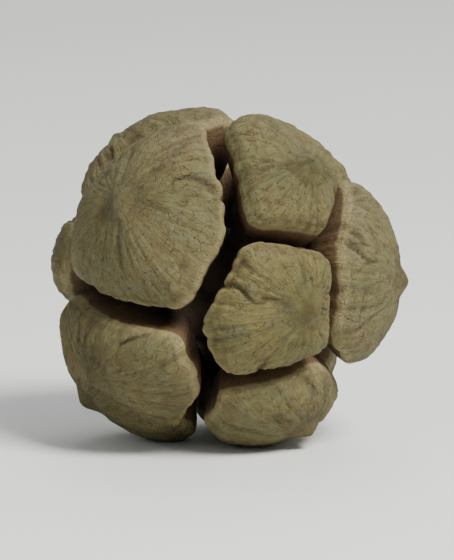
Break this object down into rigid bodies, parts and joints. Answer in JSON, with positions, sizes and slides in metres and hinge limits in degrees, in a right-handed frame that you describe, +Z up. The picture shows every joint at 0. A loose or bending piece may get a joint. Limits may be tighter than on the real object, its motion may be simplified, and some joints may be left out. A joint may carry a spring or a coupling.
{
  "type": "cypress cone",
  "caption": "Dry, opened seed cone of a cypress: domed shield-shaped scales in crossed pairs on a short woody axis, lying on three of its scales.",
  "frame": {"origin": "middle of the cone's box, on the surface that it lies on", "axes": "+Z up from the three low points that it lies on; the cone's tip points along -Y and 26 degrees up"},
  "size_m": [0.0308, 0.0328, 0.0299],
  "materials": {
    "cone_wood": "dry, matt, weathered olive brown, with paler worn rims and dark gaps"
  },
  "bodies": {
    "root": {"cypress_cone": "cone_wood"}
  },
  "joints": []
}
